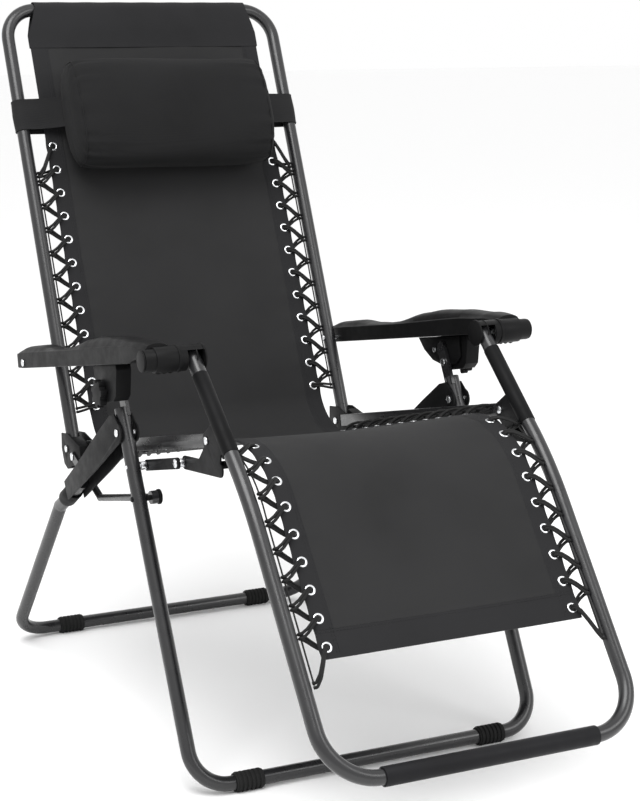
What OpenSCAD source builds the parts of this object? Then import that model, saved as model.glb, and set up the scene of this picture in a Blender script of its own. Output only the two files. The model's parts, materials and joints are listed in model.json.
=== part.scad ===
// Zero gravity recliner: folding steel tube frame, laced fabric sling, sliding armrests and a headrest.
// X points forward (the way the sitter faces), Y to the sitter's left, Z up. Millimetres.

/* [Tubes] */
// Outer diameter of the frame tubes
tube_d = 22; // [21:0.5:23]
// Bend radius at the corners of the U frames
bend_r = 55; // [50:1:60]
// Half the distance between the leg tubes
leg_half = 286.5; // [286:0.5:288]
// Half the distance between the backrest tubes
back_half = 252; // [251:0.5:253]
// Half the distance between the footrest tubes and between the seat rails
foot_half = 241; // [240:0.5:241]

/* [Stance] */
// Distance from the chair's middle to each ground bar
ground_bar_x = 407; // [400:1:415]
// Height of the middle of the ground bars
ground_bar_z = 14; // [13.5:0.1:14.5]
// Lean of the front legs from the vertical, degrees
front_leg_lean = 27.5; // [27:0.1:28]
// Lean of the rear legs below their bend, degrees
rear_leg_lean = 41.4; // [41:0.1:42]
// Lean of the backrest from the vertical, degrees
back_lean = 23.6; // [23:0.1:24]
// Lean of the footrest below its knee from the vertical, degrees
foot_lean = 37.1; // [36.5:0.1:37.5]

/* [Fabric] */
// Half the width of the backrest and seat fabric
sheet_half = 216; // [212:1:218]
// Half the width of the footrest fabric
foot_sheet_half = 206; // [203:1:208]
// Thickness of the fabric
sheet_t = 1.6; // [1:0.2:2]
// Distance between neighbouring eyelets
eyelet_pitch = 41.8; // [41:0.1:42]
// Outer diameter of an eyelet
eyelet_d = 16.5; // [15.5:0.5:17]
// Diameter of one strand of lacing cord
cord_d = 4.2; // [3.6:0.2:4.6]

/* [Headrest] */
// Width of the pillow
pillow_w = 372; // [360:2:380]
// Height of the pillow along the backrest
pillow_h = 192; // [180:2:200]
// Thickness of the pillow
pillow_t = 92; // [80:2:100]
// Width of the elastic straps
strap_w = 54; // [48:2:58]

/* [Armrests] */
// Slope of the armrests from the horizontal, degrees
arm_slope = 10; // [9.5:0.1:10.5]
// Height of the upright outer side of an armrest
arm_side_h = 26; // [24:1:27]
// Radius of the barrel at the front of an armrest
barrel_r = 18.5; // [18:0.5:19]

/* [Hidden] */
$fn = 48;
// Moves the whole chair so that the middle of its box is at x = 0
shift_x = -132.3;
tube_r = tube_d / 2;

// Pivots, seen from the side, as [x, z]
back_pivot = [-230, 535];
front_pivot = [310, 624];
clamp_pivot = [130, 546];
rear_pivot = [-170, 396];
tie_rear_pivot = [-135, 390];
tie_front_pivot = [207, 398];
knee_pivot = [380, 517];
link_front_pivot = [300, 469];
link_rear_pivot = [184, 442];
clevis_pivot = [160, 490];
knee_point = [502, 456];
foot_bar = [745, 135];
rear_bend = [-149.5, 306];

// Pins and the room around them
pin_r = 4;
pin_gap = 0.05;
open_pin_r = 3.5;
open_hole_r = 5.2;

// Layers from the middle of the chair outwards, on the left side
rail_y0 = 234.3;
rail_y1 = 247.7;
ear_t = 2.5;
knee_ear_y0 = 249;
knee_inner_y0 = 230.5;
casing_in = 238;
casing_out = 263.6;
link_y0 = 261;
link_y1 = 265;
tie_y = 263.5;
tie_d = 11.5;
clevis_gap = 12.5;
tang_y0 = 278;
tang_y1 = 283.5;
plate_y0 = 284.2;
plate_t = 3;
housing_y0 = 287.6;
housing_y1 = 311;
knob_y0 = 312;
knob_y1 = 322;
arm_y0 = 267;
arm_y1 = 317;
barrel_y0 = 226.5;
barrel_cavity_y0 = 229;
barrel_y1 = 321;

// Directions and places along the frames
back_dir = [-sin(back_lean), cos(back_lean)];
back_front = [cos(back_lean), sin(back_lean)];
foot_dir = [-sin(foot_lean), cos(foot_lean)];
foot_front = [cos(foot_lean), sin(foot_lean)];
seat_dir = unit2(knee_pivot - rear_pivot);
seat_up = [-seat_dir[1], seat_dir[0]];
upright_dir = unit2(front_pivot - knee_point);
back_len = (1108 - rear_pivot[1]) / cos(back_lean);
seat_drop = 21;
knee_drop = 2;
rear_fillet = 90;
knee_fillet = 160;
foot_sheet_lift = 4;
foot_sheet_end = 166;
back_eyelets = 12;
back_eyelet_s0 = 67;
foot_eyelets = 6;
foot_eyelet_s0 = 182;
seat_eyelets = 11;
strand_gap = 4.8;
strap_s = (929 - rear_pivot[1]) / cos(back_lean);
pillow_s = strap_s - 16;

// The sling's corners behind the seat and over the knee
sheet_low = rear_pivot - seat_drop * seat_up;
sheet_dir = unit2(knee_pivot - knee_drop * seat_up - sheet_low);
sheet_up = [-sheet_dir[1], sheet_dir[0]];
sheet_angle = atan2(sheet_dir[1], sheet_dir[0]);
rear_corner = crossing(rear_pivot, back_dir, sheet_low, sheet_dir);
knee_corner = crossing(foot_bar + foot_sheet_lift * foot_front, foot_dir, sheet_low, sheet_dir);
rear_turn = 90 + back_lean - sheet_angle;
knee_turn = 90 - foot_lean + sheet_angle;
rear_cut = rear_fillet / tan(rear_turn / 2);
knee_cut = knee_fillet * tan(knee_turn / 2);
knee_centre = knee_corner - knee_cut * sheet_dir - knee_fillet * sheet_up;
rear_centre = rear_corner + rear_cut * sheet_dir + rear_fillet * sheet_up;

function unit2(v) = v / norm(v);
// Where two lines cross, each given by a point and a direction
function crossing(p, d, q, e) =
  p + d * ((q[0] - p[0]) * e[1] - (q[1] - p[1]) * e[0]) / (d[0] * e[1] - d[1] * e[0]);
// A point of a frame plane: s along it and t in front of it
function on_back(s, t) = rear_pivot + s * back_dir + t * back_front;
function on_foot(s, t) = foot_bar + s * foot_dir + t * foot_front;
function on_seat(s, t) = rear_pivot + s * seat_dir + t * seat_up;
function at_y(p, y) = [p[0], y, p[1]];
function circle_point(c, r, a) = c + r * [cos(a), sin(a)];

// Puts the chair's side view frame where the model's origin wants it
module place() {
  translate([shift_x, 0, 0]) children();
}

// The left side and its mirror image on the right
module both() {
  children();
  mirror([0, 1, 0]) children();
}

// A cylinder along Y at a side view point
module lateral(p, y0, y1, r) {
  translate([p[0], y0, p[1]]) rotate([-90, 0, 0]) cylinder(h = y1 - y0, r = r);
}

// A side view outline, as thick as the gap between y0 and y1
module plate(y0, y1) {
  translate([0, y1, 0]) rotate([90, 0, 0]) linear_extrude(y1 - y0) children();
}

// A bar with round ends between two side view points
module bar2d(a, b, w) {
  d = b - a;
  translate(a) circle(d = w);
  translate(b) circle(d = w);
  translate(a) rotate(atan2(d[1], d[0])) translate([0, 0.1 - w / 2]) square([norm(d), w - 0.2]);
}

// A round bar between two points in space
module rod(a, b, d) {
  v = b - a;
  translate(a) rotate([0, acos(v[2] / norm(v)), atan2(v[1], v[0])]) cylinder(d = d, h = norm(v));
}

// A U of tube with its base along Y at the origin and its legs going up Z
module u_frame(half, leg_len, r) {
  lateral([0, 0], -(half - r), half - r, tube_r);
  both() {
    translate([0, half - r, r]) rotate([0, 90, 0]) rotate_extrude(angle = 90)
      translate([r, 0]) circle(r = tube_r);
    translate([0, half, r]) cylinder(r = tube_r, h = leg_len - r);
  }
}

// A band of even thickness that follows side view points
module band(points, t, y0, y1) {
  n = len(points);
  normals = [for (i = [0:n - 1])
    let (d = unit2(points[min(i + 1, n - 1)] - points[max(i - 1, 0)])) [-d[1], d[0]]];
  outline = concat([for (i = [0:n - 1]) points[i] + normals[i] * t / 2],
                   [for (i = [n - 1:-1:0]) points[i] - normals[i] * t / 2]);
  plate(y0, y1) polygon(outline);
}

// An eyelet whose axis is the side view direction given by its angle from +X
module eyelet(p, y, angle) {
  translate(at_y(p, y)) rotate([0, 90 - angle, 0]) difference() {
    cylinder(d = eyelet_d, h = 3, center = true);
    cylinder(d = eyelet_d * 0.5, h = 4, center = true);
  }
}

// Two strands side by side, offset along the side view direction dir
module strands(p, yp, q, yq, dir) {
  for (k = [-0.5, 0.5])
    rod(at_y(p + k * strand_gap * dir, yp), at_y(q + k * strand_gap * dir, yq), cord_d);
}

// ---------------- front legs ----------------
leg_tang_s = (clamp_pivot[1] - ground_bar_z) / cos(front_leg_lean);
tang_rise = 24;

module front_leg_frame() color("#17181a") place() difference() {
  union() {
    translate([ground_bar_x, 0, ground_bar_z]) rotate([0, -front_leg_lean, 0]) {
      u_frame(leg_half, leg_tang_s - 26, bend_r);
      both() {
        translate([-tube_r, tang_y0, leg_tang_s - 40])
          cube([tube_d, tang_y1 - tang_y0, 40 + tang_rise]);
        lateral([0, leg_tang_s + tang_rise], tang_y0, tang_y1, tube_r);
      }
    }
  }
  for (side = [-1, 1]) {
    lateral(clamp_pivot, side * leg_half - 20, side * leg_half + 20, pin_r + pin_gap);
    lateral(clevis_pivot, side * leg_half - 20, side * leg_half + 20, pin_r + pin_gap);
    lateral(tie_front_pivot, side * leg_half - 20, side * leg_half + 20, pin_r + pin_gap);
    lateral(link_rear_pivot, side * leg_half - 20, side * leg_half + 20, pin_r + pin_gap);
  }
}

// Ribbed rubber foot around a ground bar, flat underneath
module ribbed_foot(x, y) {
  foot_len = 44;
  difference() {
    union() {
      lateral([x, ground_bar_z], y - foot_len / 2, y + foot_len / 2, tube_r + 2.6);
      for (k = [0:5])
        lateral([x, ground_bar_z], y - foot_len / 2 + 3 + k * 6.8, y - foot_len / 2 + 7 + k * 6.8, tube_r + 4);
    }
    lateral([x, ground_bar_z], y - foot_len, y + foot_len, tube_r + 0.1);
    translate([x - 30, y - 40, -20]) cube([60, 80, 20]);
  }
}

module front_feet() color("#1c1c1d") place() both() ribbed_foot(ground_bar_x, 204);

// ---------------- rear legs ----------------
rear_low_len = norm(rear_bend - [-ground_bar_x, ground_bar_z]);
rear_up_dir = unit2(clevis_pivot - rear_bend);
rear_tube_end = rear_bend + 125 * rear_up_dir;

module rear_leg_frame() color("#141516") place() {
  translate([-ground_bar_x, 0, ground_bar_z]) rotate([0, rear_leg_lean, 0])
    u_frame(leg_half, rear_low_len + 2, bend_r);
  both() rod(at_y(rear_bend - 2 * rear_up_dir, leg_half), at_y(rear_tube_end, leg_half), tube_d);
}

// Side view outline of a clevis ear
module clevis_ear() {
  low = rear_bend + 84 * rear_up_dir;
  up = [-rear_up_dir[1], rear_up_dir[0]];
  polygon([low + 16 * up, low + 88 * rear_up_dir + 21 * up, low + 190 * rear_up_dir + 30 * up,
           low + 258 * rear_up_dir + 34 * up, low + 278 * rear_up_dir + 29 * up,
           clevis_pivot + 14.5 * rear_up_dir, clevis_pivot - 15 * up,
           low + 150 * rear_up_dir - 17 * up, low - 15 * up]);
  translate(clevis_pivot) circle(r = 15);
}

module rear_leg_clevises() color("#161718") place() both() {
  low = rear_bend + 84 * rear_up_dir;
  up = [-rear_up_dir[1], rear_up_dir[0]];
  difference() {
    union() {
      plate(leg_half + clevis_gap, leg_half + clevis_gap + ear_t) clevis_ear();
      plate(leg_half - clevis_gap - ear_t, leg_half - clevis_gap) clevis_ear();
      plate(leg_half - clevis_gap - 1, leg_half + clevis_gap + 1)
        polygon([low + 16 * up, low + 190 * rear_up_dir + 30 * up,
                 low + 190 * rear_up_dir + 27 * up, low + 13 * up]);
    }
    lateral(clevis_pivot, leg_half - 30, leg_half + 30, pin_r);
  }
}

module rear_leg_sleeves() color("#1b1b1c") place() both() difference() {
  rod(at_y(rear_bend + 42 * rear_up_dir, leg_half), at_y(rear_bend + 83.5 * rear_up_dir, leg_half), 29.5);
  rod(at_y(rear_bend + 40 * rear_up_dir, leg_half), at_y(rear_bend + 90 * rear_up_dir, leg_half), tube_d + 0.2);
}

module rear_feet() color("#1c1c1d") place() both() ribbed_foot(-ground_bar_x, 185);

module clevis_rivets() color("#b9bbbd") place() both() {
  lateral(clevis_pivot, leg_half - 17, leg_half + 17, pin_r);
  lateral(clevis_pivot, leg_half + 15.2, leg_half + 17.5, 6);
  lateral(clevis_pivot, leg_half - 17.5, leg_half - 15.2, 6);
}

// ---------------- slide housings and locks ----------------
// A point of the armrest: s along it from its rear pivot and t above it
function on_arm(s, t) = back_pivot + s * [cos(arm_slope), sin(arm_slope)] + t * [-sin(arm_slope), cos(arm_slope)];
arm_bottom = -9;
housing_top = arm_bottom - 0.8;

module lock_housings() color("#151515") place() both() difference() {
  plate(housing_y0, housing_y1) polygon([
    on_arm(322, housing_top), on_arm(419, housing_top), on_arm(421, housing_top - 8),
    on_arm(410, housing_top - 46), on_arm(398, housing_top - 54), on_arm(350, housing_top - 56),
    on_arm(334, housing_top - 50)]);
  lateral(clamp_pivot, leg_half - 30, leg_half + 30, pin_r);
  // Room for the round part of the leg below its flattened top
  plate(leg_half - tube_r - 1, leg_half + tube_r + 1) polygon([
    clamp_pivot + [-26, -14], clamp_pivot + [42, -14], clamp_pivot + [70, -70], clamp_pivot + [-30, -70]]);
}

module slide_plates() color("#1a1b1c") place() both() difference() {
  plate(plate_y0, plate_y0 + plate_t) union() {
    translate(clamp_pivot) circle(r = 13);
    polygon([on_arm(268, housing_top), on_arm(400, housing_top), on_arm(400, housing_top - 34),
             on_arm(385, housing_top - 46), on_arm(345, housing_top - 48), on_arm(310, housing_top - 38),
             on_arm(284, housing_top - 20)]);
  }
  lateral(clamp_pivot, leg_half - 30, leg_half + 30, pin_r);
  lateral(on_arm(320, -31), leg_half - 30, leg_half + 30, 2.5);
}

module plate_bolts() color("#c3c5c7") place() both() {
  lateral(on_arm(320, -31), plate_y0 - 2.4, plate_y0 - 0.05, 4.6);
  lateral(on_arm(320, -31), plate_y0 - 1, plate_y0 + plate_t, 2.5);
}

module clamp_bolts() color("#bfc1c3") place() both() {
  lateral(clamp_pivot, tang_y0 - 2, knob_y0 - 0.4, pin_r);
  lateral(clamp_pivot, tang_y0 - 3, tang_y0 - 0.35, 6.2);
}

// A knob with seven lobes and a hub
module lock_knob(side) {
  y0 = side > 0 ? knob_y0 : -knob_y1;
  y1 = side > 0 ? knob_y1 : -knob_y0;
  plate(y0, y1) union() {
    translate(clamp_pivot) circle(r = 17);
    for (k = [0:6]) translate(circle_point(clamp_pivot, 17, k * 360 / 7 + 12)) circle(r = 4.8);
  }
}

module lock_knob_right() color("#101010") place() lock_knob(-1);
module lock_knob_left() color("#101010") place() lock_knob(1);

// ---------------- armrests ----------------
// Height of the armrest's crown: low behind, a dip, then a long hump towards the front
function crown(s) = s < 170 ? 19.5 + 7.5 * pow(cos((s - 20) * 0.6), 2)
                  : s < 520 ? 19.5 + 13.5 * pow(sin((s - 170) * 180 / 400), 1.5) : 19.5 + 6.1 - 0.1 * (s - 520);

module armrest_shape() {
  difference() {
    union() {
      plate(arm_y0, arm_y1) polygon([
        on_arm(-35, arm_bottom + 5), on_arm(-31, arm_bottom), on_arm(526, arm_bottom),
        on_arm(526, arm_bottom + arm_side_h), on_arm(-31, arm_bottom + arm_side_h), on_arm(-35, 13)]);
      plate(arm_y0 + 4, arm_y1 - 5) polygon(concat(
        [for (s = [-28:18:530]) on_arm(s, min(crown(s), arm_bottom + arm_side_h + (s + 28) * 1.2))],
        [on_arm(530, arm_bottom + arm_side_h - 3), on_arm(-28, arm_bottom + arm_side_h - 3)]));
    }
    lateral(back_pivot, arm_y0 - 5, arm_y1 + 5, pin_r);
    lateral(front_pivot, arm_y0 - 5, arm_y1 + 5, barrel_r + 0.2);
  }
}

module armrest_right() color("#111112") place() mirror([0, 1, 0]) armrest_shape();
module armrest_left() color("#111112") place() armrest_shape();

// Barrels across the front of the armrests, open below where the footrest tubes come in
module armrest_barrels() color("#121213") place() both() difference() {
  union() {
    lateral(front_pivot, barrel_y0, 302, barrel_r);
    lateral(front_pivot, 300, barrel_y1 - 3, barrel_r - 2.5);
    lateral(front_pivot, barrel_y0, barrel_y0 + 3.5, barrel_r + 1.5);
  }
  lateral(front_pivot, barrel_cavity_y0, 256, 15.4);
  lateral(front_pivot, barrel_cavity_y0, barrel_y1 - 2, 10);
  plate(barrel_cavity_y0, 254.5) polygon([
    front_pivot + [-7, -8], front_pivot + [-23, -40], front_pivot + [60, -60], front_pivot + [60, 13],
    front_pivot + [8, 13]]);
}

module barrel_caps() color("#161617") place() both() {
  lateral(front_pivot, barrel_y1 - 2.9, barrel_y1, barrel_r - 3);
  lateral(front_pivot, barrel_y1 - 8, barrel_y1 - 2.9, 9.9);
}

module armrest_rivets() color("#c3c5c7") place() both() {
  lateral(back_pivot, back_half - 14.5, arm_y1 + 1, pin_r);
  lateral(back_pivot, arm_y1 + 0.1, arm_y1 + 2.4, 6.2);
  lateral(back_pivot, back_half - 14.5, back_half - 12, 6);
}

// ---------------- backrest ----------------
module backrest_frame() color("#17181a") place() difference() {
  translate(at_y(on_back(back_len, 0), 0)) rotate([0, 180 - back_lean, 0])
    u_frame(back_half, back_len + 12, bend_r);
  for (side = [-1, 1]) {
    lateral(back_pivot, side * back_half - 20, side * back_half + 20, pin_r + pin_gap);
    lateral(rear_pivot, side * back_half - 20, side * back_half + 20, pin_r + pin_gap);
  }
}

module backrest_sheet() color("#1d1e20") place() {
  band([on_back(rear_cut + 6 - rear_offset(), 0), on_back(back_len - 24, 0)],
       sheet_t, -sheet_half, sheet_half);
  band([on_back(back_len - 26, 0), on_back(back_len - tube_r - 1, 0)],
       sheet_t, -(back_half - bend_r - 4), back_half - bend_r - 4);
  difference() {
    lateral(on_back(back_len, 0), -(back_half - bend_r - 4), back_half - bend_r - 4, tube_r + 0.3 + sheet_t);
    lateral(on_back(back_len, 0), -back_half, back_half, tube_r + 0.2);
  }
}
// How far up the backrest the sling's rear corner is
function rear_offset() = -(rear_corner - rear_pivot) * back_dir;

module backrest_eyelets() color("#c9cbcd") place() both()
  for (i = [0:back_eyelets - 1])
    eyelet(on_back(back_eyelet_s0 + i * eyelet_pitch, 0), sheet_half - 12.5, back_lean);

module backrest_lacing() color("#0e0e0e") place() both() {
  eyelet_y = sheet_half - 12.5;
  anchor_y = back_half - tube_r - 2.4;
  for (i = [0:back_eyelets - 1]) {
    s = back_eyelet_s0 + i * eyelet_pitch;
    anchor = s - eyelet_pitch * (i > 0 ? 0.55 : 0.1);
    strands(on_back(s, 3.8), eyelet_y, on_back(anchor, 3.2), anchor_y, back_dir);
    if (i > 0)
      strands(on_back(anchor, -3.2), anchor_y, on_back(s - eyelet_pitch, -3.8), eyelet_y, back_dir);
  }
}

// ---------------- headrest ----------------
// A rounded pillow section, flatter than an ellipse
function pillow_section(n) = [for (i = [0:n - 1])
  let (a = i * 360 / n, c = cos(a), s = sin(a), p = 0.72)
  on_back(pillow_s + sign(s) * pow(abs(s), p) * pillow_h / 2,
          3 + pillow_t / 2 + sign(c) * pow(abs(c), p) * pillow_t / 2)];

module headrest_pillow() color("#131314") place()
  plate(-pillow_w / 2, pillow_w / 2) polygon(pillow_section(40));

module headrest_straps() color("#121212") place() both() {
  strap_t = 1.8;
  front = tube_r + 1.2;
  outer = back_half + tube_r + 1.4;
  for (t = [front, -front - strap_t])
    plate(pillow_w / 2 + 0.4, outer + strap_t) polygon([
      on_back(strap_s - strap_w / 2, t), on_back(strap_s + strap_w / 2, t),
      on_back(strap_s + strap_w / 2, t + strap_t), on_back(strap_s - strap_w / 2, t + strap_t)]);
  plate(outer, outer + strap_t) polygon([
    on_back(strap_s - strap_w / 2, -front), on_back(strap_s + strap_w / 2, -front),
    on_back(strap_s + strap_w / 2, front), on_back(strap_s - strap_w / 2, front)]);
}

// ---------------- seat ----------------
seat_len = norm(knee_pivot - rear_pivot);

module seat_rails() color("#17181a") place() both() difference() {
  union() {
    plate(rail_y0, rail_y1) polygon([on_seat(20, -10), on_seat(seat_len, -10),
                                     on_seat(seat_len, 10), on_seat(20, 10)]);
    plate(rail_y0, rail_y1) translate(knee_pivot) circle(r = 10);
  }
  lateral(knee_pivot, rail_y0 - 5, rail_y1 + 5, pin_r + pin_gap);
}

// Casings that hold the lower ends of the backrest tubes
module casing_ear() {
  polygon([rear_pivot + [-26, 22], rear_pivot + [4, 26], rear_pivot + [62, 16], rear_pivot + [66, -2],
           rear_pivot + [30, -20], rear_pivot + [2, -34], rear_pivot + [-14, -28], rear_pivot + [-26, -4]]);
}

module rear_hinge_casings() color("#141415") place() both() difference() {
  union() {
    plate(casing_in - 3, casing_in - 3 + ear_t) casing_ear();
    plate(casing_out, casing_out + ear_t) casing_ear();
    plate(rail_y1 + 0.2, casing_out + 1) intersection() {
      casing_ear();
      translate(rear_pivot + [19, -30]) square([50, 80]);
    }
    plate(casing_in - 3, casing_out + 1) intersection() {
      casing_ear();
      translate(rear_pivot + [-30, -40]) square([40, 22]);
    }
  }
  plate(rail_y0 - 0.05, rail_y1 + 0.05) polygon([on_seat(16, -10.1), on_seat(100, -10.1),
                                   on_seat(100, 10.1), on_seat(16, 10.1)]);
  lateral(rear_pivot, casing_in - 10, casing_out + 10, pin_r);
  lateral(tie_rear_pivot, casing_in + 14, casing_out + 10, open_pin_r);
}

module rear_hinge_bolts() color("#bfc1c3") place() both() {
  lateral(rear_pivot, casing_in - 4, casing_out + 3, pin_r);
  lateral(rear_pivot, casing_in - 6, casing_in - 3.1, 6);
  lateral(rear_pivot, casing_out + ear_t + 0.1, casing_out + ear_t + 2.4, 6);
}

module tie_rod_pins() color("#bfc1c3") place() both() {
  lateral(tie_rear_pivot, casing_in + 14, casing_out + ear_t + 4, open_pin_r);
  lateral(tie_rear_pivot, casing_out + ear_t + 3.4, casing_out + ear_t + 4.9, 6.6);
}

seat_start = rear_corner + rear_cut * sheet_dir;
seat_end = knee_corner - (knee_cut + 7) * sheet_dir;

module seat_sheet() color("#1d1e20") place()
  band(concat(
    [for (i = [0.3, 1, 2, 3, 4, 5, 6, 7, 8]) circle_point(rear_centre, rear_fillet,
      180 + back_lean + (90 - back_lean + sheet_angle) * i / 8)],
    [seat_end]), sheet_t, -sheet_half, sheet_half);

function seat_eyelet_point(i) = seat_start + (12 + i * eyelet_pitch) * sheet_dir;

module seat_eyelets() color("#c9cbcd") place() both()
  for (i = [0:seat_eyelets - 1])
    eyelet(seat_eyelet_point(i), sheet_half - 12.5, 90 + sheet_angle);

module seat_lacing() color("#0e0e0e") place() both()
  for (i = [0:seat_eyelets - 1]) {
    p = seat_eyelet_point(i);
    q = p + 0.5 * eyelet_pitch * sheet_dir + 8 * sheet_up;
    strands(p + 3.8 * sheet_up, sheet_half - 12.5, q, rail_y0 - 2.8, sheet_dir);
  }

// ---------------- footrest ----------------
knee_bend_r = 600;
knee_half_turn = (atan2(foot_dir[0], foot_dir[1]) - atan2(upright_dir[0], upright_dir[1])) / 2;
knee_tangent = knee_bend_r * tan(abs(knee_half_turn));
foot_leg_len = norm(knee_point - foot_bar) - knee_tangent;
foot_bend_r = 75;

module footrest_frame() color("#17181a") place() {
  translate([foot_bar[0], 0, foot_bar[1]]) rotate([0, -foot_lean, 0]) {
    u_frame(foot_half, foot_leg_len, foot_bend_r);
    both() translate([-knee_bend_r, foot_half, foot_leg_len])
      rotate([90, 0, 0]) rotate_extrude(angle = 2 * abs(knee_half_turn))
        translate([knee_bend_r, 0]) circle(r = tube_r + 0.05);
  }
  both() {
    top = front_pivot + 4 * upright_dir;
    low = knee_point + knee_tangent * upright_dir;
    rod(at_y(low, foot_half), at_y(top, foot_half), tube_d);
  }
}

module footrest_shafts() color("#8d8f92") place() both()
  lateral(front_pivot, foot_half + tube_r + 0.2, barrel_y1 - 12, 7);

module knee_sleeves() color("#151516") place() both() difference() {
  a = front_pivot - 34 * upright_dir;
  b = front_pivot - 175 * upright_dir;
  rod(at_y(a, foot_half), at_y(b, foot_half), tube_d + 1.8);
  rod(at_y(a + 5 * upright_dir, foot_half), at_y(b - 5 * upright_dir, foot_half), tube_d + 0.1);
  for (y = [knee_ear_y0, knee_inner_y0])
    plate(y - 0.1, y + ear_t + 0.1) knee_ear();
}

// Ear of the knee bracket, from the upright back to the seat pivot
module knee_ear() {
  a = front_pivot - 118 * upright_dir;
  b = front_pivot - 172 * upright_dir;
  translate(knee_pivot) circle(r = 13);
  polygon([a, b, knee_pivot + [14, -26], knee_pivot + [-6, -12], knee_pivot + [-4, 12.6]]);
}

module knee_brackets() color("#161718") place() both() difference() {
  union() {
    plate(knee_inner_y0, knee_inner_y0 + ear_t) knee_ear();
    plate(knee_ear_y0, knee_ear_y0 + ear_t) union() {
      knee_ear();
      bar2d(link_front_pivot, knee_pivot + [44, -34], 20);
      polygon([knee_pivot + [-8, -10], knee_pivot + [-30, -34], knee_pivot + [44, -34], knee_pivot + [50, 0]]);
    }
    plate(knee_inner_y0 + 1, knee_ear_y0 + 1) polygon([
      knee_pivot + [18, -27], knee_pivot + [52, -27], knee_pivot + [52, -30], knee_pivot + [18, -30]]);
  }
  both() rod(at_y(front_pivot, foot_half), at_y(front_pivot - 200 * upright_dir, foot_half), tube_d + 0.1);
  lateral(knee_pivot, knee_inner_y0 - 5, knee_ear_y0 + 5, pin_r);
  lateral(link_front_pivot, knee_inner_y0 - 5, knee_ear_y0 + 5, open_pin_r);
}

module knee_rivets() color("#bfc1c3") place() both() {
  lateral(knee_pivot, knee_inner_y0 - 1, knee_ear_y0 + ear_t + 1, pin_r);
  lateral(knee_pivot, knee_inner_y0 - 2.5, knee_inner_y0 - 0.1, 6);
  lateral(knee_pivot, knee_ear_y0 + ear_t + 0.1, knee_ear_y0 + ear_t + 2.6, 6);
}

module link_pins() color("#bfc1c3") place() both() {
  lateral(link_front_pivot, knee_ear_y0, link_y1 + 1.5, open_pin_r);
  lateral(link_front_pivot, knee_ear_y0 + ear_t + 0.1, link_y0 - 0.6, 6.5);
  lateral(link_front_pivot, link_y1 + 0.6, link_y1 + 2.4, 6.6);
}

// Angles between the eyelets on the knee's curve, and from its lower end to the last straight eyelet
arc_pitch = eyelet_pitch * 0.98 / knee_fillet * 180 / PI;
arc_first = (foot_eyelet_s0 + (foot_eyelets - 1) * eyelet_pitch * 0.98
             - (knee_centre - foot_bar) * foot_dir) / knee_fillet * 180 / PI;

module footrest_sheet() color("#1d1e20") place()
  band(concat(
    [for (i = [0:10]) circle_point(knee_centre, knee_fillet,
      90 + sheet_angle - knee_turn * i / 10)],
    [on_foot(foot_sheet_end, foot_sheet_lift)]), sheet_t, -foot_sheet_half, foot_sheet_half);

module footrest_eyelets() color("#c9cbcd") place() both() {
  for (i = [0:foot_eyelets - 1])
    eyelet(on_foot(foot_eyelet_s0 + i * eyelet_pitch * 0.98, foot_sheet_lift), foot_sheet_half - 12.5, foot_lean);
  for (k = [1:3]) {
    a = 90 + sheet_angle - knee_turn + arc_first + k * arc_pitch;
    eyelet(circle_point(knee_centre, knee_fillet, a), foot_sheet_half - 12.5, a);
  }
}

module footrest_lacing() color("#0e0e0e") place() both() {
  eyelet_y = foot_sheet_half - 12.5;
  anchor_y = foot_half - tube_r - 2.4;
  for (i = [0:foot_eyelets - 1]) {
    s = foot_eyelet_s0 + i * eyelet_pitch * 0.98;
    anchor = s - eyelet_pitch * 0.5;
    strands(on_foot(s, foot_sheet_lift + 3.8), eyelet_y, on_foot(anchor, foot_sheet_lift + 3), anchor_y, foot_dir);
    if (i > 0)
      strands(on_foot(anchor, foot_sheet_lift - 3.4), anchor_y,
              on_foot(s - eyelet_pitch * 0.98, foot_sheet_lift - 3.8), eyelet_y, foot_dir);
  }
}

module footrest_bar_sleeve() color("#121212") place() difference() {
  union() {
    lateral(foot_bar, -(foot_half - foot_bend_r), foot_half - foot_bend_r, tube_r + 2.6);
    plate(-(foot_half - foot_bend_r), foot_half - foot_bend_r)
      bar2d(foot_bar + [0, -tube_r], foot_bar + [-14, -tube_r - 1], 4);
  }
  lateral(foot_bar, -foot_half, foot_half, tube_r + 0.2);
}

// ---------------- links ----------------
module control_links() color("#151617") place() both() difference() {
  plate(link_y0, link_y1) bar2d(link_rear_pivot, link_front_pivot, 17);
  lateral(link_rear_pivot, link_y0 - 5, link_y1 + 5, pin_r);
  lateral(link_front_pivot, link_y0 - 5, link_y1 + 5, open_hole_r);
}

module link_rivets() color("#9a9c9f") place() both() {
  lateral(link_rear_pivot, link_y0 - 1.5, leg_half + 13, pin_r);
  lateral(link_rear_pivot, link_y1 + 0.1, leg_half - tube_r - 0.4, 6.5);
  lateral(link_rear_pivot, link_y0 - 2.4, link_y0 - 0.1, 6.5);
}

tie_bend = [-20, 346];
tie_end = [-98, 376];
tie_low_dir = unit2(tie_bend - tie_front_pivot);
tie_up_dir = unit2(tie_end - tie_bend);

module tie_rods() color("#121314") place() both() difference() {
  union() {
    rod(at_y(tie_front_pivot + 6.5 * tie_low_dir, tie_y), at_y(tie_bend + 1.9 * tie_low_dir, tie_y), tie_d);
    rod(at_y(tie_bend - 1.9 * tie_up_dir, tie_y), at_y(tie_end, tie_y), tie_d);
    lateral(tie_front_pivot, tie_y - 5, tie_y + 5, 10);
    plate(casing_out + ear_t + 0.4, casing_out + ear_t + 3.3) bar2d(tie_rear_pivot, tie_end + [14, -5], 15);
  }
  lateral(tie_front_pivot, tie_y - 20, tie_y + 20, pin_r);
  lateral(tie_rear_pivot, tie_y - 20, tie_y + 20, open_hole_r);
}

module tie_rod_caps() color("#101010") place() both() {
  lateral(tie_front_pivot, tie_y - tie_d / 2 - 5, tie_y - tie_d / 2 - 0.1, 11.5);
  lateral(tie_front_pivot, tie_y - tie_d / 2 - 2, leg_half + 13, pin_r);
}

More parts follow.
